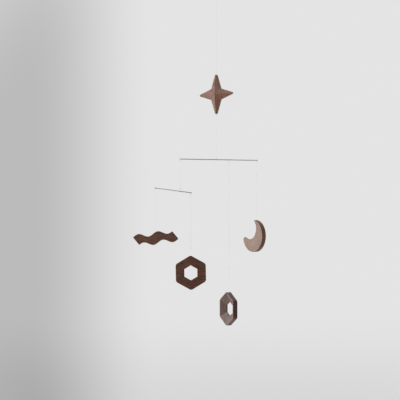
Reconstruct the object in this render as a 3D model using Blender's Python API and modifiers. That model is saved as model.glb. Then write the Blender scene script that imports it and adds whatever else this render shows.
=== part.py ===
"""Hanging mobile: five walnut shapes on fine threads, spread by two thin steel rods.

Metres, +Z up, -Y towards the viewer. The origin is the top of the hanging loop, where a hook bears.
Every piece hangs from the one above it: its place is worked out from the thread that holds it.
"""

import math

import bmesh
import bpy
from mathutils import Matrix, Vector

# Board, wire and thread
BOARD = 0.0098  # thickness of the rings and the moon
EDGE_ROUND = 0.0007  # sanded edge of every wooden piece
ROD_DIAMETER = 0.002
THREAD_DIAMETER = 0.0004
GAP = 0.0003  # between a rod and the thread tied round it
HOLE_DIAMETER = 0.0014  # drilled in the wood for a thread
HOLE_DEPTH = 0.003
THREAD_SET = 0.0022  # length of thread inside its hole
KNOT_WIRE = 0.0007  # thickness of the turns tied round a rod
KNOT_RADIUS = ROD_DIAMETER / 2 + GAP + KNOT_WIRE / 2  # of those turns' centre line

# Star
STAR_SPAN = 0.079
STAR_VALLEY = 0.0113  # each inner corner lies this far from the centre along both arms
STAR_CENTRE_THICKNESS = 0.013
STAR_EDGE_THICKNESS = 0.006
STAR_TIP_RADIUS = 0.0029
STAR_VALLEY_RADIUS = 0.003
STAR_YAW = math.radians(36)

# Ring
RING_FLATS = 0.061
RING_HOLE_FLATS = 0.0262
RING_CORNER_RADIUS = 0.006
RING_LAND = 0.0022  # thickness left at the hole
RING_RIM = 0.0016  # flat rim outside the dish
RING_HANG_DEPTH = 0.0034  # the thread enters this far from the flat back, over the centre of mass
NEAR_RING_HANG_SIDE = -0.0008  # the thread enters this far to one side of the corner
NEAR_RING_YAW = math.radians(180)
FAR_RING_YAW = math.radians(64.2)

# Wave
WAVE_THICKNESS = 0.006
WAVE_LENGTH = 0.0408  # one period
WAVE_HEIGHT = 0.004  # from the middle line to a crest
WAVE_SPAN = 0.0832  # length of each long edge
WAVE_SHIFT = 0.0085  # the lower edge is the upper one moved this far right
WAVE_SLANT = 0.011  # the ends lean this far off upright
WAVE_DROP = 0.0192  # and this far down
WAVE_TILT = math.radians(8.3)
WAVE_HANG = 0.0008  # the thread enters this far along from the middle

# Moon
MOON_RADIUS = 0.0335
MOON_UPPER_HORN_RADIUS = 0.0007
MOON_LOWER_HORN_RADIUS = 0.0056
# Shares of the moon's radius
MOON_BITE = 0.683  # radius of the bite
MOON_BITE_SIDE = -0.331  # centre of the bite from the centre of the moon
MOON_BITE_UP = 0.464
MOON_HANG = 0.273  # the thread enters this far towards the full side
MOON_YAW = math.radians(56)
MOON_LIP = 0.0015  # full wood in front of the carving behind the lower horn
MOON_CARVE_LEAN = 1.3  # the carving leans this far sideways for each step back
MOON_CARVE_PLAY = 0.0002  # between the carving and the wall of the bite, where it starts
MOON_CARVE_FACETS = 64

# Rods
LONG_ROD_LEFT = 0.076  # from the thread above to the thread at each end
LONG_ROD_RIGHT = 0.0873
LONG_ROD_INNER = 0.0269  # to the far ring's thread
LONG_ROD_YAW = math.radians(13.7)
SHORT_ROD_LEFT = 0.0767
SHORT_ROD_RIGHT = 0.0305
SHORT_ROD_YAW = math.radians(-45)
SHORT_ROD_TILT = math.radians(6.7)
ROD_TAIL = 0.002  # rod past its end threads

# Threads, from the piece above to the piece below
LOOP_LENGTH = 0.015
LOOP_RADIUS = 0.004
LOOP_KNOT_RADIUS = 0.001
TOP_THREAD = 0.1653  # from the loop's knot to the star
STAR_THREAD = 0.0961
SHORT_ROD_THREAD = 0.0662
WAVE_THREAD = 0.0926
NEAR_RING_THREAD = 0.128
FAR_RING_THREAD = 0.2738
MOON_THREAD = 0.1253

CURVE_FACETS = 48  # along each long curved side of the moon and the wave
CORNER_FACETS = 4
TIP_FACETS = 6
LOOP_FACETS = 14
HOLE_FACETS = 10
KNOT_FACETS = 16
WIRE_FACETS = 8
CUT_MARGIN = 0.01  # a cutter runs this far past what it cuts
MERGE = 1e-6  # points closer than this are one
FLAT = math.radians(0.1)  # faces closer than this to one plane are one face
UPRIGHT = Matrix.Rotation(math.radians(90), 3, "X")  # stands an XY drawing up in XZ

MATERIALS = {
    "walnut": ((0.085, 0.045, 0.032, 1.0), 0.55, 0.0),
    "steel": ((0.42, 0.42, 0.42, 1.0), 0.3, 1.0),
    "nylon": ((0.8, 0.8, 0.79, 1.0), 0.15, 0.0),
}


def clear_scene():
    for obj in list(bpy.data.objects):
        bpy.data.objects.remove(obj, do_unlink=True)


def new_collection(name):
    collection = bpy.data.collections.new(name)
    bpy.context.scene.collection.children.link(collection)
    return collection


def make_material(name, color, roughness, metallic):
    material = bpy.data.materials.new(name)
    material.use_nodes = True
    shader = material.node_tree.nodes["Principled BSDF"]
    shader.inputs["Base Color"].default_value = color
    shader.inputs["Roughness"].default_value = roughness
    shader.inputs["Metallic"].default_value = metallic
    return material


clear_scene()
parts = new_collection("hanging_mobile")
cutters = new_collection("cutters")
materials = {name: make_material(name, *look) for name, look in MATERIALS.items()}


def mesh_from_bmesh(name, bm):
    bmesh.ops.recalc_face_normals(bm, faces=bm.faces)
    mesh = bpy.data.meshes.new(name)
    bm.to_mesh(mesh)
    bm.free()
    return mesh


def add_part(name, mesh, material, placement=None):
    obj = bpy.data.objects.new(name, mesh)
    parts.objects.link(obj)
    obj.matrix_world = placement or Matrix.Identity(4)
    mesh.materials.clear()
    mesh.materials.append(materials[material])
    return obj


def add_cutter(name, mesh, placement=None):
    obj = bpy.data.objects.new(name, mesh)
    cutters.objects.link(obj)
    obj.matrix_world = placement or Matrix.Identity(4)
    obj.hide_render = True
    obj.display_type = "WIRE"
    return obj


def boolean(obj, other, operation):
    modifier = obj.modifiers.new(f"{operation.lower()}_{other.name}", "BOOLEAN")
    modifier.operation = operation
    modifier.object = other


def round_edges(obj, width):
    modifier = obj.modifiers.new("sanded_edges", "BEVEL")
    modifier.width = width
    modifier.segments = 2
    modifier.limit_method = "ANGLE"
    modifier.angle_limit = math.radians(30)


def slab(name, outline, thickness):
    """A flat outline in the XZ plane, given its thickness along Y; its front faces -Y."""
    curve = bpy.data.curves.new(name, "CURVE")
    curve.dimensions = "2D"
    curve.fill_mode = "BOTH"
    curve.extrude = thickness / 2
    spline = curve.splines.new("POLY")
    spline.points.add(len(outline) - 1)
    for point, (x, z) in zip(spline.points, outline):
        point.co = (x, z, 0.0, 1.0)
    spline.use_cyclic_u = True
    flat = bpy.data.objects.new(f"{name}_outline", curve)
    cutters.objects.link(flat)
    graph = bpy.context.evaluated_depsgraph_get()
    mesh = bpy.data.meshes.new_from_object(flat.evaluated_get(graph))
    bpy.data.objects.remove(flat, do_unlink=True)
    bm = bmesh.new()
    bm.from_mesh(mesh)
    bmesh.ops.remove_doubles(bm, verts=bm.verts, dist=MERGE)
    bmesh.ops.dissolve_limit(bm, angle_limit=FLAT, verts=bm.verts, edges=bm.edges)
    bmesh.ops.rotate(bm, verts=bm.verts, cent=(0, 0, 0), matrix=UPRIGHT)
    return mesh_from_bmesh(name, bm)


def arc(centre, radius, start, end, steps):
    """Points on an arc, from the start angle to the end angle."""
    angles = [start + (end - start) * i / steps for i in range(steps + 1)]
    return [(centre[0] + radius * math.cos(a), centre[1] + radius * math.sin(a)) for a in angles]


def rounded_corner(before, corner, after, radius):
    """The arc that rounds one corner of an outline."""
    corner = Vector(corner)
    to_before = (Vector(before) - corner).normalized()
    to_after = (Vector(after) - corner).normalized()
    half = to_before.angle(to_after) / 2
    centre = corner + (to_before + to_after).normalized() * (radius / math.sin(half))
    reach = radius / math.tan(half)
    first = corner + to_before * reach - centre
    last = corner + to_after * reach - centre
    start = math.atan2(first.y, first.x)
    turn = math.remainder(math.atan2(last.y, last.x) - start, 2 * math.pi)
    return arc(centre, radius, start, start + turn, CORNER_FACETS)


def turned(yaw, at, roll=0.0):
    """Places a piece: rolled in its own plane, then its right side swung to the viewer."""
    return (
        Matrix.Translation(at) @ Matrix.Rotation(-yaw, 4, "Z") @ Matrix.Rotation(-roll, 4, "Y")
    )


def drill(obj, mouth):
    """A hole for a thread, straight down or up from the mouth, which is in world coordinates."""
    place, direction = mouth
    bm = bmesh.new()
    bmesh.ops.create_cone(
        bm,
        cap_ends=True,
        segments=HOLE_FACETS,
        radius1=HOLE_DIAMETER / 2,
        radius2=HOLE_DIAMETER / 2,
        depth=HOLE_DEPTH + CUT_MARGIN,
    )
    middle = place - direction * (HOLE_DEPTH - (HOLE_DEPTH + CUT_MARGIN) / 2)
    name = f"{obj.name}_hole_{'top' if direction.z > 0 else 'bottom'}"
    cutter = add_cutter(name, mesh_from_bmesh(name, bm), Matrix.Translation(middle))
    boolean(obj, cutter, "DIFFERENCE")


def star_outline():
    """Rounded tips and inner corners, anticlockwise from the right arm."""
    tip_centre = STAR_SPAN / 2 - STAR_TIP_RADIUS
    flank = math.atan2(STAR_VALLEY - STAR_TIP_RADIUS, tip_centre - STAR_VALLEY)
    spread = math.pi / 2 - flank
    tip = arc((tip_centre, 0), STAR_TIP_RADIUS, -spread, spread, TIP_FACETS)
    end = (tip_centre, STAR_TIP_RADIUS * math.cos(flank))
    valley = rounded_corner(end, (STAR_VALLEY, STAR_VALLEY), end[::-1], STAR_VALLEY_RADIUS)
    points = []
    for quarter in range(4):
        turn = Matrix.Rotation(quarter * math.pi / 2, 2)
        points += [tuple(turn @ Vector(point)) for point in tip + valley]
    return points


def star_height(x, z):
    """Half thickness on the four-sided pyramids whose ridges run from the centre to the tips."""
    drop = (STAR_CENTRE_THICKNESS - STAR_EDGE_THICKNESS) / 2
    along = drop / (STAR_SPAN / 2)
    across = drop / STAR_VALLEY - along
    near, far = sorted((abs(x), abs(z)))
    return STAR_CENTRE_THICKNESS / 2 - across * near - along * far


def make_star(at):
    bm = bmesh.new()
    outline = star_outline()
    back = bm.faces.new([bm.verts.new((x, 0, z)) for x, z in outline])
    extruded = bmesh.ops.extrude_face_region(bm, geom=[back], use_keep_orig=True)
    front_verts = [v for v in extruded["geom"] if isinstance(v, bmesh.types.BMVert)]
    front = [f for f in extruded["geom"] if isinstance(f, bmesh.types.BMFace)]
    for vert in bm.verts:
        side = -1 if vert in front_verts else 1
        vert.co.y = side * star_height(vert.co.x, vert.co.z)
    poked = bmesh.ops.poke(bm, faces=[back, *front])
    for vert in poked["verts"]:
        vert.co = (0, math.copysign(STAR_CENTRE_THICKNESS / 2, vert.co.y), 0)
    obj = add_part("star", mesh_from_bmesh("star", bm), "walnut", turned(STAR_YAW, at))
    tip = Vector((0, 0, STAR_SPAN / 2))
    mouths = [(at + tip, Vector((0, 0, 1))), (at - tip, Vector((0, 0, -1)))]
    round_edges(obj, EDGE_ROUND)
    for mouth in mouths:
        drill(obj, mouth)
    return mouths


def hexagon(flats):
    """Corners of a hexagon with a point at the top."""
    radius = flats / 2 / math.cos(math.radians(30))
    angles = [math.radians(30 + 60 * i) for i in range(6)]
    return [(radius * math.cos(a), radius * math.sin(a)) for a in angles]


def ring_cutter(name, placement):
    """The inside of a ring: a six-sided dish that narrows towards the back, and the hole beyond it."""
    corner = 1 / 2 / math.cos(math.radians(30))  # centre to corner, for each unit across the flats
    dish_flats = RING_FLATS - 2 * RING_RIM
    widening = (dish_flats - RING_HOLE_FLATS) / (BOARD - RING_LAND)
    depth = BOARD - RING_LAND + CUT_MARGIN
    bm = bmesh.new()
    bmesh.ops.create_cone(
        bm,
        cap_ends=True,
        segments=6,
        radius1=(dish_flats + widening * CUT_MARGIN) * corner,
        radius2=RING_HOLE_FLATS * corner,
        depth=depth,
    )
    floor = max(bm.faces, key=lambda face: face.calc_center_median().z)
    extruded = bmesh.ops.extrude_face_region(bm, geom=[floor])["geom"]
    hole_end = [item for item in extruded if isinstance(item, bmesh.types.BMVert)]
    bmesh.ops.delete(bm, geom=[floor], context="FACES_ONLY")
    bmesh.ops.translate(bm, verts=hole_end, vec=(0, 0, RING_LAND + CUT_MARGIN))
    # The cone runs along Z about its middle; laid along Y, its corners turn to the top and bottom
    bmesh.ops.translate(bm, verts=bm.verts, vec=(0, 0, BOARD / 2 - RING_LAND - depth / 2))
    lay_back = Matrix.Rotation(math.radians(-90), 3, "X")
    bmesh.ops.rotate(bm, verts=bm.verts, cent=(0, 0, 0), matrix=lay_back)
    return add_cutter(name, mesh_from_bmesh(name, bm), placement)


def make_ring(name, hang, yaw, hang_side=0.0):
    """A ring whose front is dished from its rim down to the hole, with a flat back.

    Its middle hangs below its thread, so a hole beside the corner turns it a little.
    """
    sharp = hexagon(RING_FLATS)
    outline = []
    for i in range(6):
        outline += rounded_corner(
            sharp[i - 1], sharp[i], sharp[(i + 1) % 6], RING_CORNER_RADIUS
        )
    corner_centre = max(z for x, z in outline) - RING_CORNER_RADIUS
    rise = corner_centre + math.sqrt(RING_CORNER_RADIUS**2 - hang_side**2)
    roll = math.atan2(hang_side, rise)
    mouth = Vector((hang_side, BOARD / 2 - RING_HANG_DEPTH, rise))
    centre = hang - turned(yaw, (0, 0, 0), roll) @ mouth
    placement = turned(yaw, centre, roll)
    obj = add_part(name, slab(name, outline, BOARD), "walnut", placement)
    boolean(obj, ring_cutter(f"{name}_inside", placement), "DIFFERENCE")
    round_edges(obj, EDGE_ROUND)
    drill(obj, (hang, Vector((0, 0, 1))))


def wave_line(x):
    """Height of the wave above its middle line; it rises through it at the middle."""
    return WAVE_HEIGHT * math.sin(2 * math.pi * x / WAVE_LENGTH)


def make_wave(hang):
    along = [WAVE_SPAN * (i / CURVE_FACETS - 1 / 2) for i in range(CURVE_FACETS + 1)]
    lag = (WAVE_SLANT - WAVE_SHIFT) / 2
    lower = [(x + WAVE_SLANT / 2, wave_line(x + lag) - WAVE_DROP / 2) for x in along]
    upper = [(x - WAVE_SLANT / 2, wave_line(x - lag) + WAVE_DROP / 2) for x in along]
    outline = lower + upper[::-1]
    mouth = (WAVE_HANG, wave_line(WAVE_HANG + WAVE_SHIFT / 2) + WAVE_DROP / 2)
    centre = hang - turned(0, (0, 0, 0), WAVE_TILT) @ Vector((mouth[0], 0, mouth[1]))
    obj = add_part(
        "wave", slab("wave", outline, WAVE_THICKNESS), "walnut", turned(0, centre, WAVE_TILT)
    )
    round_edges(obj, EDGE_ROUND)
    drill(obj, (hang, Vector((0, 0, 1))))


def horn(bite, bite_radius, radius, side):
    """Centre of a horn's round end, which touches the rim from inside and the bite from outside."""
    rim = MOON_RADIUS - radius
    cut = bite_radius + radius
    half = math.acos((rim**2 + bite.length**2 - cut**2) / (2 * rim * bite.length))
    from_moon = math.atan2(bite.y, bite.x) + side * half
    centre = Vector((math.cos(from_moon), math.sin(from_moon))) * rim
    from_bite = math.atan2(*(centre - bite).yx)
    return centre, from_moon, from_bite


def horn_arc(centre, radius, start, end):
    """The round end between a horn's two sides, without the points that it shares with them."""
    turn = (end - start) % (2 * math.pi)
    return arc(centre, radius, start, start + turn, CORNER_FACETS)[1:-1]


def moon_outline():
    """A disc with a round bite taken from its upper left: a fine upper horn and a blunt lower one."""
    bite = Vector((MOON_BITE_SIDE, MOON_BITE_UP)) * MOON_RADIUS
    bite_radius = MOON_BITE * MOON_RADIUS
    full_turn = 2 * math.pi
    upper, upper_angle, upper_from_bite = horn(bite, bite_radius, MOON_UPPER_HORN_RADIUS, -1)
    lower, lower_angle, lower_from_bite = horn(bite, bite_radius, MOON_LOWER_HORN_RADIUS, 1)
    outer = arc((0, 0), MOON_RADIUS, lower_angle, upper_angle + full_turn, CURVE_FACETS)
    bitten = (lower_from_bite - upper_from_bite) % full_turn - full_turn
    inner = arc(bite, bite_radius, upper_from_bite, upper_from_bite + bitten, CURVE_FACETS)
    upper_tip = horn_arc(upper, MOON_UPPER_HORN_RADIUS, upper_angle, upper_from_bite + math.pi)
    lower_tip = horn_arc(lower, MOON_LOWER_HORN_RADIUS, lower_from_bite + math.pi, lower_angle)
    return outer + upper_tip + inner + lower_tip


def carve_horn(moon, place):
    """The bite once more, leaned away behind the lower horn, which thins the horn from its back."""
    front = MOON_LIP - BOARD / 2
    bite = Vector((MOON_BITE_SIDE, 0, MOON_BITE_UP)) * MOON_RADIUS
    radius = MOON_BITE * MOON_RADIUS - MOON_CARVE_PLAY
    bm = bmesh.new()
    bmesh.ops.create_cone(
        bm, cap_ends=True, segments=MOON_CARVE_FACETS, radius1=radius, radius2=radius, depth=BOARD
    )
    lay = Matrix.Rotation(math.pi / 2, 3, "X")
    bmesh.ops.rotate(bm, verts=bm.verts, cent=(0, 0, 0), matrix=lay)
    bmesh.ops.translate(bm, verts=bm.verts, vec=bite + Vector((0, front + BOARD / 2, 0)))
    for vert in bm.verts:
        vert.co.x -= MOON_CARVE_LEAN * (vert.co.y - front)
    bmesh.ops.recalc_face_normals(bm, faces=bm.faces)
    boolean(moon, add_cutter("horn_carving", mesh_from_bmesh("horn_carving", bm), place), "DIFFERENCE")


def make_moon(hang):
    mouth = Vector((MOON_HANG, 0, math.sqrt(1 - MOON_HANG**2))) * MOON_RADIUS
    centre = hang - turned(MOON_YAW, (0, 0, 0)) @ mouth
    place = turned(MOON_YAW, centre)
    obj = add_part("moon", slab("moon", moon_outline(), BOARD), "walnut", place)
    round_edges(obj, EDGE_ROUND)
    carve_horn(obj, place)
    drill(obj, (hang, Vector((0, 0, 1))))


def rod_placement(at, yaw, tilt):
    """A rod's own X runs along it, to the right of the picture."""
    return Matrix.Translation(at) @ Matrix.Rotation(yaw, 4, "Z") @ Matrix.Rotation(tilt, 4, "Y")


def tube(name, points, diameter):
    """A round tube along straight runs between the points, with filled ends."""
    curve = bpy.data.curves.new(name, "CURVE")
    curve.dimensions = "3D"
    curve.bevel_depth = diameter / 2
    curve.bevel_resolution = 2
    curve.use_fill_caps = True
    spline = curve.splines.new("POLY")
    spline.points.add(len(points) - 1)
    for point, place in zip(spline.points, points):
        point.co = (*place, 1.0)
    holder = bpy.data.objects.new(name, curve)
    cutters.objects.link(holder)
    graph = bpy.context.evaluated_depsgraph_get()
    mesh = bpy.data.meshes.new_from_object(holder.evaluated_get(graph))
    bpy.data.objects.remove(holder, do_unlink=True)
    bm = bmesh.new()
    bm.from_mesh(mesh)
    bmesh.ops.remove_doubles(bm, verts=bm.verts, dist=MERGE)
    return mesh_from_bmesh(name, bm)


def make_rod(name, at, left, right, yaw, tilt):
    placement = rod_placement(at, yaw, tilt)
    ends = [(-left - ROD_TAIL, 0, 0), (right + ROD_TAIL, 0, 0)]
    obj = add_part(name, tube(name, ends, ROD_DIAMETER), "steel", placement)
    obj.data.shade_smooth()
    obj.data.set_sharp_from_angle(angle=math.radians(40))
    return placement


def knot_ring(name, rod, along):
    """The turns tied round a rod, as one ring clear of it."""
    bm = bmesh.new()
    bmesh.ops.create_circle(bm, segments=WIRE_FACETS, radius=KNOT_WIRE / 2)
    bmesh.ops.rotate(bm, verts=bm.verts, cent=(0, 0, 0), matrix=UPRIGHT)
    bmesh.ops.translate(bm, verts=bm.verts, vec=(KNOT_RADIUS, 0, 0))
    bmesh.ops.spin(
        bm,
        geom=bm.verts[:] + bm.edges[:],
        cent=(0, 0, 0),
        axis=(0, 0, 1),
        angle=2 * math.pi,
        steps=KNOT_FACETS,
        use_merge=True,
    )
    bmesh.ops.remove_doubles(bm, verts=bm.verts, dist=MERGE)
    lay_along_x = Matrix.Rotation(math.radians(90), 4, "Y")
    placement = rod @ Matrix.Translation((along, 0, 0)) @ lay_along_x
    return add_cutter(name, mesh_from_bmesh(name, bm), placement)


def make_thread(name, upper, lower, knots=()):
    """A straight thread between two points, joined to the turns at its ends."""
    obj = add_part(name, tube(name, [upper, lower], THREAD_DIAMETER), "nylon")
    for knot in knots:
        boolean(obj, knot, "UNION")
    return obj


def along_rod(placement, distance):
    return placement @ Vector((distance, 0, 0))


def hang_from_rod(name, rod, along, drop):
    """A thread tied to a rod that hangs down into a hole. Returns the hole's mouth."""
    at = along_rod(rod, along)
    mouth = at - Vector((0, 0, drop))
    start = at - Vector((0, 0, KNOT_RADIUS))
    end = mouth - Vector((0, 0, THREAD_SET))
    make_thread(f"thread_{name}", start, end, [knot_ring(f"knot_{name}", rod, along)])
    return mouth


def make_top_thread(mouth):
    """The thread from the star up to its knot, and the tied loop above it."""
    knot_at = Vector((0, 0, -LOOP_LENGTH))
    start = mouth - Vector((0, 0, THREAD_SET))
    obj = make_thread("thread_top", knot_at, start)
    bm = bmesh.new()
    bmesh.ops.create_uvsphere(
        bm, u_segments=KNOT_FACETS, v_segments=WIRE_FACETS, radius=LOOP_KNOT_RADIUS
    )
    name = "top_knot"
    ball = add_cutter(name, mesh_from_bmesh(name, bm), Matrix.Translation(knot_at))
    boolean(obj, ball, "UNION")
    # The loop's bearing surface is at the origin, so its centre line passes just above
    centre = (0, THREAD_DIAMETER / 2 - LOOP_RADIUS)
    reach = centre[1] + LOOP_LENGTH
    lean = math.asin(LOOP_RADIUS / reach)
    bow = arc(centre, LOOP_RADIUS, -lean, math.pi + lean, LOOP_FACETS)
    line = [(0, knot_at.z), *bow, (0, knot_at.z)]
    loop_mesh = tube("top_loop", [(x, 0, z) for x, z in line], THREAD_DIAMETER)
    boolean(obj, add_cutter("top_loop", loop_mesh), "UNION")


def make_mobile():
    down = Vector((0, 0, -1))
    star_top = down * (LOOP_LENGTH + TOP_THREAD)
    make_top_thread(star_top)
    mouths = make_star(star_top + down * STAR_SPAN / 2)

    long_at = mouths[1][0] + down * STAR_THREAD
    long_rod = make_rod("long_rod", long_at, LONG_ROD_LEFT, LONG_ROD_RIGHT, LONG_ROD_YAW, 0)
    knot = knot_ring("knot_long_rod", long_rod, 0)
    inside = mouths[1][0] - down * THREAD_SET
    make_thread("thread_long_rod", inside, long_at - down * KNOT_RADIUS, [knot])

    left = along_rod(long_rod, -LONG_ROD_LEFT)
    short_at = left + down * SHORT_ROD_THREAD
    short_rod = make_rod(
        "short_rod", short_at, SHORT_ROD_LEFT, SHORT_ROD_RIGHT, SHORT_ROD_YAW, SHORT_ROD_TILT
    )
    knots = [
        knot_ring("knot_left_end", long_rod, -LONG_ROD_LEFT),
        knot_ring("knot_short_rod", short_rod, 0),
    ]
    make_thread("thread_short_rod", left + down * KNOT_RADIUS, short_at - down * KNOT_RADIUS, knots)

    make_wave(hang_from_rod("wave", short_rod, -SHORT_ROD_LEFT, WAVE_THREAD))
    near = hang_from_rod("hexagon_near", short_rod, SHORT_ROD_RIGHT, NEAR_RING_THREAD)
    make_ring("hexagon_near", near, NEAR_RING_YAW, NEAR_RING_HANG_SIDE)
    far = hang_from_rod("hexagon_far", long_rod, LONG_ROD_INNER, FAR_RING_THREAD)
    make_ring("hexagon_far", far, FAR_RING_YAW)
    make_moon(hang_from_rod("moon", long_rod, LONG_ROD_RIGHT, MOON_THREAD))


make_mobile()
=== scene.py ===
"""Hanging mobile: a star, a wave, two hexagonal rings and a moon in walnut, on clear threads.

Metres, +Z up, -Y towards the viewer, origin where the hook bears in the top loop. The threads lie
first; every wooden shape is then cut, sanded and drilled where its thread ends.
"""

import math

import bmesh
import bpy
from mathutils import Matrix, Vector


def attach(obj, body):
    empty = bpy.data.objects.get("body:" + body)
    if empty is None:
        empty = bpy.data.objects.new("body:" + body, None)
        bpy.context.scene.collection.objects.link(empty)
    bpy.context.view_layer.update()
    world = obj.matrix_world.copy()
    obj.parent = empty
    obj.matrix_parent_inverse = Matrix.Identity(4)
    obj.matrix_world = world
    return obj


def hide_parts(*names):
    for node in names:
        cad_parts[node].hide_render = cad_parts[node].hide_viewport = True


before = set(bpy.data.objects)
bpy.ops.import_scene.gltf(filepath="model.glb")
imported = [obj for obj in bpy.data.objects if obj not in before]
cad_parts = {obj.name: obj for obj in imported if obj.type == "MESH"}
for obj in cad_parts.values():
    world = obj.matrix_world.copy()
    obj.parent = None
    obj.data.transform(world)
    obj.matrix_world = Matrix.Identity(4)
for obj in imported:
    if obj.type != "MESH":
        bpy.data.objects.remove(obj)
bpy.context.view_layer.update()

MM = 0.001
UP = Vector((0, 0, 1))
DOWN = -UP
FULL_TURN = 2 * math.pi

# Wood
BOARD = 9.8 * MM
EDGE_ROUND = 0.9 * MM
ROUND_STEPS = 4
SANDED_FROM = math.radians(25)  # sharper edges are sanded round
SMOOTH_TO = math.radians(32)  # flatter edges are shaded round
HOLE_RADIUS = 0.7 * MM
HOLE_DEPTH = 3 * MM
HOLE_FACETS = 24
DRILL_OVERSHOOT = 5 * MM  # out of the wood, so that no skin is left

STAR_SPAN = 79 * MM
STAR_VALLEY = 11.3 * MM
STAR_CENTRE_THICKNESS = 13 * MM
STAR_EDGE_THICKNESS = 6 * MM
STAR_TIP_RADIUS = 2.9 * MM
STAR_VALLEY_RADIUS = 3 * MM
STAR_TIP_STEPS = 10
STAR_VALLEY_STEPS = 6
STAR_EDGE_ROUND = 0.7 * MM
STAR_YAW = math.radians(36.1)  # a hair past the solid's 36, at which the cut of its holes fails

RING_FLATS = 61 * MM
RING_HOLE_FLATS = 26.2 * MM
RING_CORNER_RADIUS = 6 * MM
RING_CORNER_STEPS = 8
RING_LAND = 2.2 * MM
RING_RIM = 1.6 * MM
RING_CUTTER_OVERSHOOT = 10 * MM  # out of the board, in front and behind
RING_HANG_DEPTH = 3.4 * MM
NEAR_RING_HANG_SIDE = -0.8 * MM
NEAR_RING_YAW = math.radians(180)
FAR_RING_YAW = math.radians(64.2)

WAVE_THICKNESS = 6 * MM
WAVE_STEPS = 96
WAVE_LENGTH = 40.8 * MM
WAVE_SPAN = 83.2 * MM
WAVE_SLANT = 11 * MM
WAVE_HEIGHT = 4 * MM
WAVE_SHIFT = 8.5 * MM
WAVE_DROP = 19.2 * MM
WAVE_TILT = math.radians(8.3)
WAVE_HANG = 0.8 * MM

MOON_RADIUS = 33.5 * MM
MOON_UPPER_HORN_RADIUS = 0.7 * MM
MOON_LOWER_HORN_RADIUS = 5.6 * MM
MOON_BITE = 0.683
MOON_BITE_SIDE = -0.331
MOON_BITE_UP = 0.464
MOON_HANG = 0.273
MOON_BELLY_STEPS = 120
MOON_BITE_STEPS = 96
MOON_UPPER_HORN_STEPS = 8
MOON_LOWER_HORN_STEPS = 16
MOON_EDGE_ROUND = 0.8 * MM
MOON_YAW = math.radians(56)
MOON_LIP = 1.5 * MM  # of full wood in front of the carving behind the lower horn
MOON_CARVE_LEAN = 1.3  # sideways for each step back
MOON_CARVE_PLAY = 0.2 * MM  # keeps the carving off the wall of the bite

# Rods
ROD_DIAMETER = 2 * MM
ROD_TAIL = 2 * MM
ROD_FACETS = 32
ROD_END_ROUND = 0.35 * MM
ROD_SMOOTH_TO = math.radians(40)
LONG_ROD_LEFT = 76 * MM
LONG_ROD_RIGHT = 87.3 * MM
LONG_ROD_INNER = 26.9 * MM
LONG_ROD_YAW = math.radians(13.7)
SHORT_ROD_LEFT = 76.7 * MM
SHORT_ROD_RIGHT = 30.5 * MM
SHORT_ROD_YAW = math.radians(-45)
SHORT_ROD_TILT = math.radians(6.7)

# Threads, from the piece above to the piece below
THREAD = 0.4 * MM
THREAD_SET = 2.2 * MM
LOOP_LENGTH = 15 * MM
LOOP_RADIUS = 4 * MM
TOP_THREAD = 165.3 * MM
STAR_THREAD = 96.1 * MM
SHORT_ROD_THREAD = 66.2 * MM
WAVE_THREAD = 92.6 * MM
NEAR_RING_THREAD = 128 * MM
FAR_RING_THREAD = 273.8 * MM
MOON_THREAD = 125.3 * MM

# Camera
LENS = 95.9
CAMERA_AT = (-0.0339, -2.2, -0.5028)
CAMERA_PITCH = math.radians(91.667)


def set_camera():
    data = bpy.data.cameras.new("camera")
    data.lens = LENS
    camera = bpy.data.objects.new("camera", data)
    camera.location = CAMERA_AT
    camera.rotation_euler = (CAMERA_PITCH, 0, 0)
    bpy.context.collection.objects.link(camera)
    bpy.context.scene.camera = camera


set_camera()


# Places, each worked out from the thread that the piece hangs on


def turned(yaw, at, roll=0.0):
    """Rolled in its own plane, then its right side swung to the viewer."""
    return Matrix.Translation(at) @ Matrix.Rotation(-yaw, 4, "Z") @ Matrix.Rotation(-roll, 4, "Y")


def rod_placement(at, yaw, tilt=0.0):
    """A rod's own X runs along it, to the right of the picture."""
    return Matrix.Translation(at) @ Matrix.Rotation(yaw, 4, "Z") @ Matrix.Rotation(tilt, 4, "Y")


def along(rod, distance):
    return rod @ Vector((distance, 0, 0))


star_top = DOWN * (LOOP_LENGTH + TOP_THREAD)
star_place = turned(STAR_YAW, star_top + DOWN * STAR_SPAN / 2)
star_foot = star_top + DOWN * STAR_SPAN
long_rod = rod_placement(star_foot + DOWN * STAR_THREAD, LONG_ROD_YAW)
short_rod = rod_placement(
    along(long_rod, -LONG_ROD_LEFT) + DOWN * SHORT_ROD_THREAD, SHORT_ROD_YAW, SHORT_ROD_TILT
)
wave_mouth = along(short_rod, -SHORT_ROD_LEFT) + DOWN * WAVE_THREAD
near_mouth = along(short_rod, SHORT_ROD_RIGHT) + DOWN * NEAR_RING_THREAD
far_mouth = along(long_rod, LONG_ROD_INNER) + DOWN * FAR_RING_THREAD
moon_mouth = along(long_rod, LONG_ROD_RIGHT) + DOWN * MOON_THREAD


# Threads

TURNS = 2.5  # round a rod
TURN_PLAY = 0.02 * MM  # between the rod and the thread round it
TURN_RADIUS = ROD_DIAMETER / 2 + THREAD / 2 + TURN_PLAY
TURN_PITCH = 1.15 * THREAD
POINTS_A_TURN = 20
POINTS_A_SWEEP = 8
POINTS_A_LOOP_SIDE = 12
POINTS_A_TAIL = 6
KNOT_DROP = 3 * MM  # from a rod's axis to the knot below it
LONG_KNOT_DROP = 6.2 * MM  # the short rod hangs in a longer bight
TAIL = 2.6 * MM
KNOT_SIZE = 0.24 * MM
KNOT_POINTS = 48
BOW_POINTS = 24
BOW_PULL = 5 * MM  # how far the loop runs straight before it turns


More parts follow.
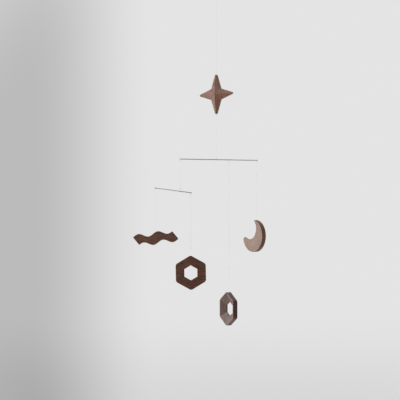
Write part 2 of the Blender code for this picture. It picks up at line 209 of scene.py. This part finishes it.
def sweep(start, leave, arrive, end, count=POINTS_A_SWEEP):
    """Points on a smooth curve between two points, without the first."""
    inner = start + leave
    outer = end - arrive
    points = []
    for i in range(1, count + 1):
        t = i / count
        s = 1 - t
        points.append(start * s**3 + inner * (3 * s * s * t) + outer * (3 * s * t * t) + end * t**3)
    return points


def tail(knot, side, away):
    """The cut end that stands out of a knot."""
    tip = knot + side * (0.75 * TAIL) + away * (0.7 * TAIL)
    return sweep(knot, away * (0.5 * TAIL), side * (0.4 * TAIL), tip, POINTS_A_TAIL)


def tie_round(rod, at, side_of_rod, drop):
    """From the knot beside a rod, round the rod and back to the knot, with a short tail.

    side_of_rod is UP or DOWN: where the knot is. Returns the knot and the points after it.
    """
    centre = along(rod, at)
    axis = (rod.to_3x3() @ Vector((1, 0, 0))).normalized()
    across = axis.cross(UP).normalized()
    out = across.cross(axis).normalized() * side_of_rod.z
    knot = centre + side_of_rod * drop
    half = TURNS * TURN_PITCH / 2
    count = round(TURNS * POINTS_A_TURN)
    turns = []
    for i in range(count + 1):
        angle = FULL_TURN * TURNS * i / count
        ring = across * math.cos(angle) - out * math.sin(angle)
        turns.append(centre + ring * TURN_RADIUS + axis * (half * (2 * i / count - 1)))
    pull = out * (0.45 * drop)
    points = sweep(knot, -pull, -pull, turns[0])
    points += turns[1:]
    points += sweep(turns[-1], pull, pull, knot)
    points += tail(knot, -across, out)
    return knot, points


def top_loop():
    """From the knot up round the open loop and back to the knot."""
    knot = DOWN * LOOP_LENGTH
    side = Vector((1, 0, 0))
    centre = UP * (THREAD / 2 - LOOP_RADIUS)
    bow = []
    for i in range(BOW_POINTS + 1):
        angle = math.pi * i / BOW_POINTS
        bow.append(centre + side * LOOP_RADIUS * math.cos(angle) + UP * LOOP_RADIUS * math.sin(angle))
    pull = UP * BOW_PULL
    points = sweep(knot, pull, pull, bow[0], POINTS_A_LOOP_SIDE)
    points += bow[1:]
    points += sweep(bow[-1], -pull, -pull, knot, POINTS_A_LOOP_SIDE)
    points += tail(knot, -side, DOWN)
    return knot, points


def straight(start, end, count=16):
    return [start.lerp(end, i / count) for i in range(count + 1)]


def thread_curve(name, points):
    curve = bpy.data.curves.new(name, "CURVE")
    curve.dimensions = "3D"
    curve.bevel_depth = 1.0  # times each point's radius
    curve.bevel_resolution = 2
    curve.use_fill_caps = True
    spline = curve.splines.new("POLY")
    spline.points.add(len(points) - 1)
    for point, place in zip(spline.points, points):
        point.co = (*place, 1.0)
        point.radius = THREAD / 2
    spline.use_smooth = True
    obj = bpy.data.objects.new(name, curve)
    bpy.context.collection.objects.link(obj)
    return obj


def run_length(points):
    return sum((b - a).length for a, b in zip(points, points[1:]))


def knot_curve(name, at):
    """A small overhand knot, pulled tight round the thread."""
    points = []
    for i in range(KNOT_POINTS):
        t = FULL_TURN * i / KNOT_POINTS
        x = math.sin(t) + 2 * math.sin(2 * t)
        y = 1.2 * math.sin(3 * t)
        z = math.cos(t) - 2 * math.cos(2 * t)
        points.append(at + Vector((x, y, z)) * KNOT_SIZE)
    obj = thread_curve(name, points)
    obj.data.use_fill_caps = False
    obj.data.splines[0].use_cyclic_u = True
    return obj


def lay_thread(node, points, knots):
    """One whole thread with its knots."""
    obj = thread_curve(f"nylon_{node}", points)
    ends = [knot_curve(f"knot_{node}_{i}", at) for i, at in enumerate(knots)]
    for piece in [obj, *ends]:
        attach(piece, "root")
    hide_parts(node)
    run_length(points)
    return [obj, *ends]


def hang(name, mouth, rod, at):
    """A thread set in a drilled hole and tied round the rod above it."""
    knot, tied = tie_round(rod, at, DOWN, KNOT_DROP)
    points = straight(mouth + DOWN * THREAD_SET, knot) + tied
    return lay_thread(name, points, [knot])


def lay_threads():
    made = []
    knot, loop = top_loop()
    points = straight(star_top + DOWN * THREAD_SET, knot, 24) + loop
    made += lay_thread("thread_top", points, [knot])

    knot, tied = tie_round(long_rod, 0, UP, KNOT_DROP)
    points = straight(star_foot + UP * THREAD_SET, knot) + tied
    made += lay_thread("thread_long_rod", points, [knot])

    upper, upper_tie = tie_round(long_rod, -LONG_ROD_LEFT, DOWN, KNOT_DROP)
    lower, lower_tie = tie_round(short_rod, 0, UP, LONG_KNOT_DROP)
    points = upper_tie[::-1] + straight(upper, lower) + lower_tie
    made += lay_thread("thread_short_rod", points, [upper, lower])

    made += hang("thread_wave", wave_mouth, short_rod, -SHORT_ROD_LEFT)
    made += hang("thread_hexagon_near", near_mouth, short_rod, SHORT_ROD_RIGHT)
    made += hang("thread_hexagon_far", far_mouth, long_rod, LONG_ROD_INNER)
    made += hang("thread_moon", moon_mouth, long_rod, LONG_ROD_RIGHT)
    return made


threads = lay_threads()


# Wood


def circle_arc(bm, vert, centre, angle, steps):
    """Carries a point round a centre in the XZ plane, anticlockwise as seen from the front."""
    made = bmesh.ops.spin(
        bm,
        geom=[vert],
        cent=centre,
        axis=(0, -1, 0),
        angle=angle,
        steps=steps,
        use_merge=False,
        use_duplicate=False,
    )
    return next(item for item in made["geom_last"] if isinstance(item, bmesh.types.BMVert))


def stand_up(bm):
    """Turns a shape that lies on its back, so that its Z points at the viewer and its Y up."""
    bmesh.ops.rotate(bm, verts=bm.verts, cent=(0, 0, 0), matrix=Matrix.Rotation(math.pi / 2, 3, "X"))


def raise_slab(bm, thickness):
    """Gives a flat face in the XZ plane its thickness, half of it to each side."""
    bmesh.ops.recalc_face_normals(bm, faces=bm.faces)
    bmesh.ops.translate(bm, verts=bm.verts, vec=(0, thickness / 2, 0))
    raised = bmesh.ops.extrude_face_region(bm, geom=bm.faces[:], use_keep_orig=True)
    verts = [item for item in raised["geom"] if isinstance(item, bmesh.types.BMVert)]
    bmesh.ops.translate(bm, verts=verts, vec=(0, -thickness, 0))
    bmesh.ops.recalc_face_normals(bm, faces=bm.faces)


def to_mesh(bm, name):
    mesh = bpy.data.meshes.new(name)
    bm.to_mesh(mesh)
    bm.free()
    return mesh


def loose_object(name, mesh):
    obj = bpy.data.objects.new(name, mesh)
    bpy.context.collection.objects.link(obj)
    return obj


def settle(obj):
    """Makes what the modifiers give the piece's own mesh."""
    graph = bpy.context.evaluated_depsgraph_get()
    mesh = bpy.data.meshes.new_from_object(obj.evaluated_get(graph))
    obj.modifiers.clear()
    obj.data = mesh


def cut(obj, cutter):
    """The careful cut is used where the quick one loses the piece, as it can at an unlucky angle."""
    modifier = obj.modifiers.new("cut", "BOOLEAN")
    modifier.operation = "DIFFERENCE"
    modifier.object = cutter
    graph = bpy.context.evaluated_depsgraph_get()
    left = len(obj.evaluated_get(graph).data.polygons)
    modifier.use_self = left < len(obj.data.polygons) / 2
    settle(obj)
    bpy.data.objects.remove(cutter, do_unlink=True)


def sand(obj, width):
    """Rounds every sharp edge."""
    modifier = obj.modifiers.new("sanded_edges", "BEVEL")
    modifier.width = width
    modifier.segments = ROUND_STEPS
    modifier.limit_method = "ANGLE"
    modifier.angle_limit = SANDED_FROM
    settle(obj)


def drill(obj, mouth, direction):
    """A hole for a thread, straight in from the mouth, in the world's directions."""
    bm = bmesh.new()
    bmesh.ops.create_cone(
        bm,
        cap_ends=True,
        segments=HOLE_FACETS,
        radius1=HOLE_RADIUS,
        radius2=HOLE_RADIUS,
        depth=HOLE_DEPTH + DRILL_OVERSHOOT,
    )
    middle = mouth + direction * ((DRILL_OVERSHOOT - HOLE_DEPTH) / 2)
    bmesh.ops.translate(bm, verts=bm.verts, vec=middle)
    cut(obj, loose_object("hole", to_mesh(bm, "hole")))


def wooden(name, bm, place, node):
    """The raw cut shape at its place, riding on the mobile."""
    bmesh.ops.transform(bm, matrix=place, verts=bm.verts)
    obj = loose_object(name, to_mesh(bm, name))
    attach(obj, "root")
    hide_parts(node)
    return obj


def smooth_shade(obj):
    """Round where it is sanded, flat where it is flat."""
    obj.data.shade_smooth()
    obj.data.set_sharp_from_angle(angle=SMOOTH_TO)
    modifier = obj.modifiers.new("flat_faces", "WEIGHTED_NORMAL")
    modifier.keep_sharp = True
    modifier.weight = 100


def crisp_ridges(obj, place):
    """Keeps the star's ridges, which run along its two middle planes, from being shaded round."""
    inward = place.inverted()
    at = [inward @ vert.co for vert in obj.data.vertices]
    for edge in obj.data.edges:
        first, last = (at[i] for i in edge.vertices)
        if any(max(abs(first[k]), abs(last[k])) < 0.01 * MM for k in (0, 2)):
            edge.use_edge_sharp = True


def star_height(x, z):
    """Half thickness on the four-sided pyramids whose ridges run from the centre to the tips."""
    drop = (STAR_CENTRE_THICKNESS - STAR_EDGE_THICKNESS) / 2
    outward = drop / (STAR_SPAN / 2)
    across = drop / STAR_VALLEY - outward
    near, far = sorted((abs(x), abs(z)))
    return STAR_CENTRE_THICKNESS / 2 - across * near - outward * far


def make_star():
    bm = bmesh.new()
    bmesh.ops.create_circle(bm, cap_ends=True, segments=8, radius=1)
    stand_up(bm)
    tip_centre = STAR_SPAN / 2 - STAR_TIP_RADIUS
    point = STAR_SPAN / 2
    for _ in range(8):  # settles on the point that the round tips are cut from
        flank = math.atan2(STAR_VALLEY, point - STAR_VALLEY)
        point = tip_centre + STAR_TIP_RADIUS / math.sin(flank)
    tips = []
    valleys = []
    for vert in bm.verts:
        if min(abs(vert.co.x), abs(vert.co.z)) < 0.1:
            vert.co = vert.co.normalized() * point
            tips.append(vert)
        else:
            vert.co = vert.co.normalized() * STAR_VALLEY * math.sqrt(2)
            valleys.append(vert)
    opening = math.pi / 4 + flank
    for verts, reach, segments in (
        (tips, STAR_TIP_RADIUS / math.tan(flank), STAR_TIP_STEPS),
        (valleys, STAR_VALLEY_RADIUS / math.tan(math.pi - opening), STAR_VALLEY_STEPS),
    ):
        bmesh.ops.bevel(
            bm,
            geom=verts,
            offset=abs(reach),
            offset_type="ABSOLUTE",
            segments=segments,
            profile=0.5,
            affect="VERTICES",
            material=-1,
        )
    raise_slab(bm, 1.0)
    for vert in bm.verts:
        vert.co.y = math.copysign(star_height(vert.co.x, vert.co.z), vert.co.y)
    flats = [face for face in bm.faces if len(face.verts) > 4]
    for vert in bmesh.ops.poke(bm, faces=flats)["verts"]:
        vert.co = (0, math.copysign(STAR_CENTRE_THICKNESS / 2, vert.co.y), 0)
    bmesh.ops.recalc_face_normals(bm, faces=bm.faces)
    star = wooden("walnut_star", bm, star_place, "star")
    sand(star, STAR_EDGE_ROUND)
    drill(star, star_top, UP)
    drill(star, star_foot, DOWN)
    smooth_shade(star)
    crisp_ridges(star, star_place)
    return star


def ring_cutter(place):
    """The six-sided dish that narrows towards the back, and the hole beyond it."""
    corner = 1 / 2 / math.cos(math.radians(30))
    margin = RING_CUTTER_OVERSHOOT
    dish_flats = RING_FLATS - 2 * RING_RIM
    widening = (dish_flats - RING_HOLE_FLATS) / (BOARD - RING_LAND)
    depth = BOARD - RING_LAND + margin
    bm = bmesh.new()
    bmesh.ops.create_cone(
        bm,
        cap_ends=True,
        segments=6,
        radius1=(dish_flats + widening * margin) * corner,
        radius2=RING_HOLE_FLATS * corner,
        depth=depth,
    )
    floor = max(bm.faces, key=lambda face: face.calc_center_median().z)
    extruded = bmesh.ops.extrude_face_region(bm, geom=[floor])["geom"]
    hole_end = [item for item in extruded if isinstance(item, bmesh.types.BMVert)]
    bmesh.ops.delete(bm, geom=[floor], context="FACES_ONLY")
    bmesh.ops.translate(bm, verts=hole_end, vec=UP * (RING_LAND + margin))
    bmesh.ops.translate(bm, verts=bm.verts, vec=UP * (BOARD / 2 - RING_LAND - depth / 2))
    lay_back = Matrix.Rotation(math.radians(-90), 4, "X")
    bmesh.ops.transform(bm, matrix=place @ lay_back, verts=bm.verts)
    bmesh.ops.recalc_face_normals(bm, faces=bm.faces)
    return loose_object("ring_cutter", to_mesh(bm, "ring_cutter"))


def make_ring(name, node, mouth, yaw, hang_side=0.0):
    """Its middle hangs below its thread, so a hole beside the corner turns it a little."""
    bm = bmesh.new()
    corner = RING_FLATS / 2 / math.cos(math.radians(30))
    bmesh.ops.create_cone(
        bm, cap_ends=True, segments=6, radius1=corner, radius2=corner, depth=BOARD
    )
    uprights = [edge for edge in bm.edges if abs(edge.verts[0].co.z - edge.verts[1].co.z) > BOARD / 2]
    bmesh.ops.bevel(
        bm,
        geom=uprights,
        offset=RING_CORNER_RADIUS * math.tan(math.radians(30)),
        offset_type="OFFSET",
        segments=RING_CORNER_STEPS,
        profile=0.5,
        affect="EDGES",
        material=-1,
    )
    stand_up(bm)
    corner_centre = max(vert.co.z for vert in bm.verts) - RING_CORNER_RADIUS
    rise = corner_centre + math.sqrt(RING_CORNER_RADIUS**2 - hang_side**2)
    roll = math.atan2(hang_side, rise)
    entry = Vector((hang_side, BOARD / 2 - RING_HANG_DEPTH, rise))
    place = turned(yaw, mouth - turned(yaw, (0, 0, 0), roll) @ entry, roll)
    ring = wooden(name, bm, place, node)
    cut(ring, ring_cutter(place))
    sand(ring, EDGE_ROUND)
    drill(ring, mouth, UP)
    smooth_shade(ring)
    return ring, place


def wave_line(x):
    """Height of the wave above its middle line; it rises through it at the middle."""
    return WAVE_HEIGHT * math.sin(FULL_TURN * x / WAVE_LENGTH)


def make_wave():
    bm = bmesh.new()
    bmesh.ops.create_grid(bm, x_segments=WAVE_STEPS, y_segments=1, size=1)
    for vert in bm.verts:
        side = vert.co.y
        x = vert.co.x * WAVE_SPAN / 2 - side * WAVE_SLANT / 2
        vert.co = (x, 0, wave_line(x + side * WAVE_SHIFT / 2) + side * WAVE_DROP / 2)
    raise_slab(bm, WAVE_THICKNESS)
    entry = Vector((WAVE_HANG, 0, wave_line(WAVE_HANG + WAVE_SHIFT / 2) + WAVE_DROP / 2))
    place = turned(0, wave_mouth - turned(0, (0, 0, 0), WAVE_TILT) @ entry, WAVE_TILT)
    wave = wooden("walnut_wave", bm, place, "wave")
    sand(wave, EDGE_ROUND)
    drill(wave, wave_mouth, UP)
    smooth_shade(wave)
    return wave, place


def horn(bite, bite_radius, radius, side):
    """Centre of a horn's round end, which touches the rim from inside and the bite from outside."""
    rim = MOON_RADIUS - radius
    apart = bite_radius + radius
    half = math.acos((rim**2 + bite.length**2 - apart**2) / (2 * rim * bite.length))
    from_moon = math.atan2(bite.z, bite.x) + side * half
    centre = Vector((math.cos(from_moon), 0, math.sin(from_moon))) * rim
    from_bite = math.atan2((centre - bite).z, (centre - bite).x)
    return centre, from_moon, from_bite


def horn_carver(bite, bite_radius, place):
    """The bite once more, leaned away behind the lower horn, which thins the horn from its back."""
    front = MOON_LIP - BOARD / 2
    depth = BOARD
    bm = bmesh.new()
    radius = bite_radius - MOON_CARVE_PLAY
    bmesh.ops.create_cone(
        bm, cap_ends=True, segments=MOON_BITE_STEPS, radius1=radius, radius2=radius, depth=depth
    )
    stand_up(bm)
    bmesh.ops.translate(bm, verts=bm.verts, vec=bite + Vector((0, front + depth / 2, 0)))
    for vert in bm.verts:
        vert.co.x -= MOON_CARVE_LEAN * (vert.co.y - front)
    bmesh.ops.transform(bm, matrix=place, verts=bm.verts)
    bmesh.ops.recalc_face_normals(bm, faces=bm.faces)
    return loose_object("horn_carver", to_mesh(bm, "horn_carver"))


def make_moon():
    """A disc with a round bite taken from its upper left: a fine upper horn and a blunt lower one."""
    bite = Vector((MOON_BITE_SIDE, 0, MOON_BITE_UP)) * MOON_RADIUS
    bite_radius = MOON_BITE * MOON_RADIUS
    upper, upper_angle, upper_from_bite = horn(bite, bite_radius, MOON_UPPER_HORN_RADIUS, -1)
    lower, lower_angle, lower_from_bite = horn(bite, bite_radius, MOON_LOWER_HORN_RADIUS, 1)
    round_belly = (upper_angle - lower_angle) % FULL_TURN
    round_upper = (upper_from_bite + math.pi - upper_angle) % FULL_TURN
    round_bite = (lower_from_bite - upper_from_bite) % FULL_TURN - FULL_TURN
    round_lower = (lower_angle - lower_from_bite - math.pi) % FULL_TURN
    bm = bmesh.new()
    vert = bm.verts.new(Vector((math.cos(lower_angle), 0, math.sin(lower_angle))) * MOON_RADIUS)
    vert = circle_arc(bm, vert, (0, 0, 0), round_belly, MOON_BELLY_STEPS)
    vert = circle_arc(bm, vert, upper, round_upper, MOON_UPPER_HORN_STEPS)
    vert = circle_arc(bm, vert, bite, round_bite, MOON_BITE_STEPS)
    circle_arc(bm, vert, lower, round_lower, MOON_LOWER_HORN_STEPS)
    bmesh.ops.remove_doubles(bm, verts=bm.verts, dist=0.001 * MM)
    bmesh.ops.contextual_create(bm, geom=bm.edges[:])
    raise_slab(bm, BOARD)
    entry = Vector((MOON_HANG, 0, math.sqrt(1 - MOON_HANG**2))) * MOON_RADIUS
    place = turned(MOON_YAW, moon_mouth - turned(MOON_YAW, (0, 0, 0)) @ entry)
    moon = wooden("walnut_moon", bm, place, "moon")
    sand(moon, MOON_EDGE_ROUND)
    cut(moon, horn_carver(bite, bite_radius, place))
    drill(moon, moon_mouth, UP)
    smooth_shade(moon)
    return moon, place


star = make_star()
near_ring, near_place = make_ring(
    "walnut_ring_near", "hexagon_near", near_mouth, NEAR_RING_YAW, NEAR_RING_HANG_SIDE
)
far_ring, far_place = make_ring("walnut_ring_far", "hexagon_far", far_mouth, FAR_RING_YAW)
wave, wave_place = make_wave()
moon, moon_place = make_moon()


# Rods


def make_rod(name, node, place, left, right):
    """Drawn wire with its cut ends dressed round."""
    length = left + right + 2 * ROD_TAIL
    bm = bmesh.new()
    radius = ROD_DIAMETER / 2
    bmesh.ops.create_cone(
        bm, cap_ends=True, segments=ROD_FACETS, radius1=radius, radius2=radius, depth=length
    )
    rims = [edge for edge in bm.edges if abs(edge.verts[0].co.z - edge.verts[1].co.z) < radius / 10]
    bmesh.ops.bevel(
        bm,
        geom=rims,
        offset=ROD_END_ROUND,
        offset_type="OFFSET",
        segments=ROUND_STEPS,
        profile=0.5,
        affect="EDGES",
        material=-1,
    )
    lay = Matrix.Rotation(math.pi / 2, 4, "Y")
    middle = Matrix.Translation(((right - left) / 2, 0, 0))
    bmesh.ops.transform(bm, matrix=place @ middle @ lay, verts=bm.verts)
    obj = loose_object(name, to_mesh(bm, name))
    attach(obj, "root")
    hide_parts(node)
    obj.data.shade_smooth()
    obj.data.set_sharp_from_angle(angle=ROD_SMOOTH_TO)
    return obj


long_wire = make_rod("steel_rod_long", "long_rod", long_rod, LONG_ROD_LEFT, LONG_ROD_RIGHT)
short_wire = make_rod("steel_rod_short", "short_rod", short_rod, SHORT_ROD_LEFT, SHORT_ROD_RIGHT)


# Finishes


class Value:
    """A socket whose sums are written as Python sums."""

    def __init__(self, nodes, socket):
        self.nodes = nodes
        self.socket = socket

    def _math(self, operation, first, second=None):
        inputs = {0: first} if second is None else {0: first, 1: second}
        return self.nodes.node("ShaderNodeMath", {"operation": operation}, inputs)[0]

    def __add__(self, other):
        return self._math("ADD", self, other)

    def __radd__(self, other):
        return self._math("ADD", other, self)

    def __sub__(self, other):
        return self._math("SUBTRACT", self, other)

    def __rsub__(self, other):
        return self._math("SUBTRACT", other, self)

    def __mul__(self, other):
        return self._math("MULTIPLY", self, other)

    def __rmul__(self, other):
        return self._math("MULTIPLY", other, self)

    def __truediv__(self, other):
        return self._math("DIVIDE", self, other)

    def __neg__(self):
        return self._math("MULTIPLY", self, -1.0)

    def fraction(self):
        return self._math("FRACT", self)

    def root(self):
        return self._math("SQRT", self)

    def above(self, low, high):
        """0 below low, 1 above high, smooth between."""
        return self.nodes.node(
            "ShaderNodeMapRange",
            {"interpolation_type": "SMOOTHSTEP", "clamp": True},
            {"Value": self, "From Min": low, "From Max": high},
        )["Result"]


class Outputs:
    """A node's outputs, by name or number."""

    def __init__(self, nodes, node):
        self.nodes = nodes
        self.node = node

    def __getitem__(self, key):
        return Value(self.nodes, self.node.outputs[key])


class Nodes:
    """A node tree, and the one way in which nodes are added to it."""

    def __init__(self, tree):
        self.tree = tree

    def plug(self, socket, value):
        if isinstance(value, Value):
            self.tree.links.new(value.socket, socket)
        else:
            socket.default_value = value

    def node(self, kind, settings=None, inputs=None):
        made = self.tree.nodes.new(kind)
        for key, value in (settings or {}).items():
            if key == "stops":
                self.set_stops(made.color_ramp, value)
            else:
                setattr(made, key, value)
        for key, value in (inputs or {}).items():
            self.plug(made.inputs[key], value)
        return Outputs(self, made)

    def set_stops(self, ramp, stops):
        while len(ramp.elements) < len(stops):
            ramp.elements.new(1.0)
        for element, (position, color) in zip(ramp.elements, stops):
            element.position = position
            element.color = (*color, 1.0)


class Finish(Nodes):
    """One material's node tree, ending in one shader."""

    def __init__(self, name):
        self.material = bpy.data.materials.new(name)
        self.material.use_nodes = True
        super().__init__(self.material.node_tree)
        self.shader = self.tree.nodes["Principled BSDF"]

    def surface(self, **values):
        """Sets the shader's own sockets; underscores stand for spaces."""
        for key, value in values.items():
            self.plug(self.shader.inputs[key.replace("_", " ")], value)

    def own_place(self, place, turn=(0, 0, 0), shift=(0, 0, 0)):
        """Object coordinates in millimetres, in the piece's own directions, turned and shifted."""
        grain = Matrix.Rotation(turn[0], 4, "X") @ Matrix.Rotation(turn[1], 4, "Y")
        grain = grain @ Matrix.Rotation(turn[2], 4, "Z")
        full = Matrix.Translation(shift) @ grain @ Matrix.Scale(1 / MM, 4) @ place.inverted()
        location, rotation, scale = full.decompose()
        coords = self.node("ShaderNodeTexCoord")["Object"]
        return self.node(
            "ShaderNodeMapping",
            None,
            {
                "Vector": coords,
                "Location": tuple(location),
                "Rotation": tuple(rotation.to_euler()),
                "Scale": tuple(scale),
            },
        )["Vector"]

    def stretched(self, vector, scale):
        return self.node("ShaderNodeMapping", None, {"Vector": vector, "Scale": scale})["Vector"]

    def noise(self, vector, scale=1.0, detail=2.0, roughness=0.5):
        return self.node(
            "ShaderNodeTexNoise",
            None,
            {"Vector": vector, "Scale": scale, "Detail": detail, "Roughness": roughness},
        )["Fac"]


WALNUT_TONES = (
    (0.0, (0.043, 0.017, 0.010)),
    (0.35, (0.104, 0.043, 0.026)),
    (0.65, (0.192, 0.087, 0.054)),
    (1.0, (0.320, 0.162, 0.104)),
)
# The heart of the tree, from the middle of the pattern, and the width of a year's ring: millimetres
HEART_ACROSS = -46
HEART_UP = 30
YEAR = 3.4
OPEN_PORE = (0.35, 0.3, 0.28, 1.0)

BRIGHT_WIRE = (0.60, 0.59, 0.58, 1.0)
TARNISH = (0.52, 0.51, 0.49, 1.0)


def walnut(name, place, tilt, swing, seed, tone_and_painted_light):
    """Oiled walnut sawn from one board.

    tilt and swing, in degrees, turn the board's length away from the piece's X: up in its own plane,
    and towards its back. seed moves the pattern, so that no two pieces are alike.
    """
    # the tint scales the tones for each piece: partly the board's own tone, partly painted light and
    # shade
    stops = [(step, [a * b for a, b in zip(color, tone_and_painted_light)]) for step, color in WALNUT_TONES]
    grain = (0, math.radians(tilt), math.radians(swing))
    wood = Finish(name)
    at = wood.own_place(place, turn=grain, shift=seed)
    parts = wood.node("ShaderNodeSeparateXYZ", None, {"Vector": at})
    drift = wood.noise(wood.stretched(at, (0.010, 0.035, 0.035)), detail=2.0)
    wander = wood.noise(wood.stretched(at, (0.03, 0.16, 0.16)), detail=3.0)
    across = parts["Y"] - HEART_ACROSS
    upward = parts["Z"] - HEART_UP
    radius = (across * across + upward * upward).root() + drift * 16.0 + wander * 2.2
    ring = (radius / YEAR).fraction()
    late = ring.above(0.25, 0.86) * (1.0 - ring.above(0.9, 1.0))
    streaks = wood.noise(wood.stretched(at, (0.022, 0.75, 0.75)), detail=4.0, roughness=0.6)
    fibres = wood.noise(wood.stretched(at, (0.09, 5.0, 5.0)), detail=3.0, roughness=0.65)
    cloud = wood.noise(at, scale=0.045, detail=2.0)
    pores = wood.noise(wood.stretched(at, (0.16, 3.6, 3.6)), detail=1.0).above(0.66, 0.74)
    pores = pores * (1.0 - late * 0.5)
    tone = 0.62 - late * 0.22 + (streaks - 0.5) * 0.75 + (fibres - 0.5) * 0.42
    tone = tone + (cloud - 0.5) * 0.6
    color = wood.node("ShaderNodeValToRGB", {"stops": stops}, {"Fac": tone})["Color"]
    pored = wood.node(
        "ShaderNodeMix",
        {"data_type": "RGBA", "blend_type": "MULTIPLY"},
        {"Factor": pores * 0.6, 6: color, 7: OPEN_PORE},
    )[2]
    height = fibres * 0.35 - pores * 0.9 - late * 0.15
    bump = wood.node(
        "ShaderNodeBump", None, {"Strength": 0.25, "Distance": 0.06 * MM, "Height": height}
    )["Normal"]
    wood.surface(
        Base_Color=pored,
        Roughness=0.5 + (fibres - 0.5) * 0.18 + pores * 0.25,
        Specular_IOR_Level=0.42,
        Normal=bump,
    )
    return wood.material


def drawn_steel(name, place):
    """Bright drawn wire: fine lines along it and a little tarnish in clouds."""
    steel = Finish(name)
    at = steel.own_place(place)
    lines = steel.noise(steel.stretched(at, (0.12, 9.0, 9.0)), detail=3.0)
    cloud = steel.noise(steel.stretched(at, (0.06, 0.3, 0.3)), detail=3.0).above(0.42, 0.72)
    color = steel.node(
        "ShaderNodeMix",
        {"data_type": "RGBA"},
        {"Factor": cloud, 6: BRIGHT_WIRE, 7: TARNISH},
    )[2]
    bump = steel.node(
        "ShaderNodeBump", None, {"Strength": 0.2, "Distance": 0.01 * MM, "Height": lines}
    )["Normal"]
    steel.surface(
        Base_Color=color, Metallic=1.0, Roughness=0.46 + cloud * 0.06 + lines * 0.06, Normal=bump
    )
    return steel.material


def clear_nylon():
    """Clear drawn nylon, a little hazy in places."""
    nylon = Finish("clear_nylon")
    at = nylon.own_place(Matrix.Identity(4))
    haze = nylon.noise(at, scale=0.8, detail=2.0)
    nylon.surface(
        Base_Color=(0.97, 0.97, 0.97, 1.0),
        Roughness=0.22 + haze * 0.12,
        IOR=1.53,
        Specular_IOR_Level=0.3,
        Transmission_Weight=0.96,
    )
    return nylon.material


def dress(obj, material):
    obj.data.materials.clear()
    obj.data.materials.append(material)


# Each piece's own board: the lie of its grain, the part of the pattern that it is cut from, its tint.
# The tint is partly the board's own tone and partly painted light and shade: it darkens the far ring as
# painted shade and lightens the star, the wave and the moon as painted light.
for piece, place, tilt, swing, seed, tone_and_painted_light in (
    (star, star_place, 88, 3, (68, 12, 4), (1.17, 1.1, 1.03)),
    (wave, wave_place, 2, -3, (3, -20, -34), (1.19, 1.3, 1.36)),
    (near_ring, near_place, 4, 3, (-88, -24, -40), (1.02, 0.98, 0.99)),
    (far_ring, far_place, -5, 2, (-84, 1, 40), (0.63, 0.56, 0.69)),
    (moon, moon_place, -14, 3, (-63, -19, -34), (1.1, 1.12, 0.95)),
):
    dress(piece, walnut(piece.name, place, tilt, swing, seed, tone_and_painted_light))
dress(long_wire, drawn_steel("steel_long", long_rod))
dress(short_wire, drawn_steel("steel_short", short_rod))
nylon = clear_nylon()
for piece in threads:
    dress(piece, nylon)


# Studio

FLOOR_RADIUS = 4.0
FLOOR_HEIGHT = -1.6
PAPER = (0.86, 0.86, 0.86, 1.0)
MIDDLE = (0, 0, -0.45)  # where the windows face
WINDOW_SIZE = (1.4, 1.4)
WALL = 0.775  # its brightness as the camera sees it
WALL_SHADE_LEFT = 0.28
WALL_SHADE_BELOW = 0.1
ROOM_BEHIND = 1.45  # how brightly the room lights the mobile from behind, and from its right
ROOM_RIGHT = 0.42


def make_floor():
    """A pale round floor well below the mobile, which fades out at its edge."""
    bm = bmesh.new()
    bmesh.ops.create_circle(bm, cap_ends=True, segments=96, radius=FLOOR_RADIUS)
    bmesh.ops.translate(bm, verts=bm.verts, vec=UP * FLOOR_HEIGHT)
    obj = loose_object("floor", to_mesh(bm, "floor"))
    paper = Finish("pale_floor")
    at = paper.node("ShaderNodeTexCoord")["Object"]
    parts = paper.node("ShaderNodeSeparateXYZ", None, {"Vector": at})
    reach = (parts["X"] * parts["X"] + parts["Y"] * parts["Y"]).root()
    paper.surface(
        Base_Color=PAPER,
        Roughness=0.9,
        Alpha=1.0 - reach.above(1.2, 3.9),
    )
    dress(obj, paper.material)


def unlit_by_windows(pieces):
    """The photograph shows no window glint on wires and threads, so the windows pass them over."""
    group = bpy.data.collections.new("glintless")
    for piece in pieces:
        group.objects.link(piece)
    for member in group.collection_objects:
        member.light_linking.link_state = "EXCLUDE"
    return group


glintless = unlit_by_windows([long_wire, short_wire, *threads])


def make_window(name, at, watts):
    """A soft square light that faces the mobile."""
    data = bpy.data.lights.new(name, "AREA")
    data.shape = "RECTANGLE"
    data.size, data.size_y = WINDOW_SIZE
    data.energy = watts
    obj = bpy.data.objects.new(name, data)
    obj.location = at
    obj.rotation_euler = (Vector(MIDDLE) - Vector(at)).to_track_quat("-Z", "Y").to_euler()
    obj.visible_camera = False
    obj.light_linking.receiver_collection = glintless
    bpy.context.collection.objects.link(obj)


def make_world():
    """A pale room, brightest behind the mobile. Its plain wall shades off to the left and below."""
    world = bpy.data.worlds.new("studio")
    bpy.context.scene.world = world
    world.use_nodes = True
    room = Nodes(world.node_tree)
    way = room.node("ShaderNodeTexCoord")["Generated"]
    parts = room.node("ShaderNodeSeparateXYZ", None, {"Vector": way})
    leftward = -parts["X"]
    downward = -parts["Z"]
    lit = ROOM_BEHIND * parts["Y"].above(-0.3, 0.9) + ROOM_RIGHT * parts["X"].above(-0.3, 0.9)
    shade = WALL_SHADE_LEFT * leftward.above(0.04, 0.16) + WALL_SHADE_BELOW * downward.above(0.07, 0.17)
    wall = WALL - parts["Y"].above(0.93, 0.98) * shade
    path = room.node("ShaderNodeLightPath")
    seen = path["Is Camera Ray"] + path["Is Transmission Ray"]
    level = lit * (1.0 - seen) + wall * seen
    background = world.node_tree.nodes["Background"]
    room.plug(background.inputs["Strength"], level)
    background.inputs["Color"].default_value = (1.0, 1.0, 1.0, 1.0)


make_floor()
make_world()
make_window("window", (-2.16, 0.79, -0.45), 40)
make_window("high_window", (-1.87, -0.68, 0.7), 32)
bpy.context.scene.view_settings.view_transform = "Standard"
